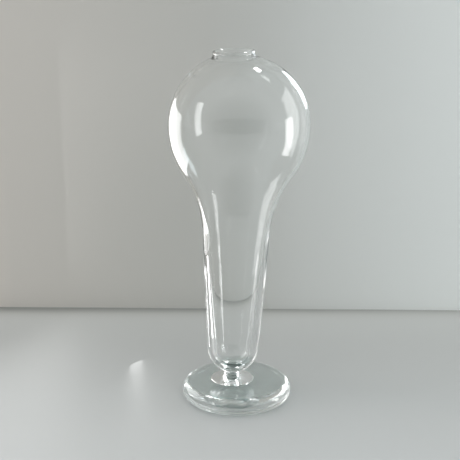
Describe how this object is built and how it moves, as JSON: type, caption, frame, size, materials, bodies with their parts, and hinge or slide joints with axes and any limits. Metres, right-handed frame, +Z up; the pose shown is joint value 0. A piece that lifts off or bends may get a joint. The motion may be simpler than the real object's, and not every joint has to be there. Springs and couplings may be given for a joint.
{
  "type": "footed glass bud vase",
  "caption": "Clear blown glass bud vase: a round bulb with a small beaded mouth on a tapering heavy trunk, joined by a narrow neck to a solid disc foot.",
  "frame": {"origin": "on the table, straight under the centre of the bulb, 1.3 mm from the middle of the foot's flat underside", "axes": "+Z up, from the foot to the mouth; the trunk meets the foot on the -X side of its middle and the mouth leans towards -X"},
  "size_m": [0.0976, 0.0976, 0.2515],
  "materials": {
    "clear_glass": "clear, smooth and fire-polished",
    "foot_glass": "clear with a few small trapped bubbles and a faint green tint in its depth"
  },
  "bodies": {
    "root": {"blown_vessel": "clear_glass", "lip_bead": "clear_glass", "neck_join": "foot_glass", "foot": "foot_glass"}
  },
  "joints": []
}
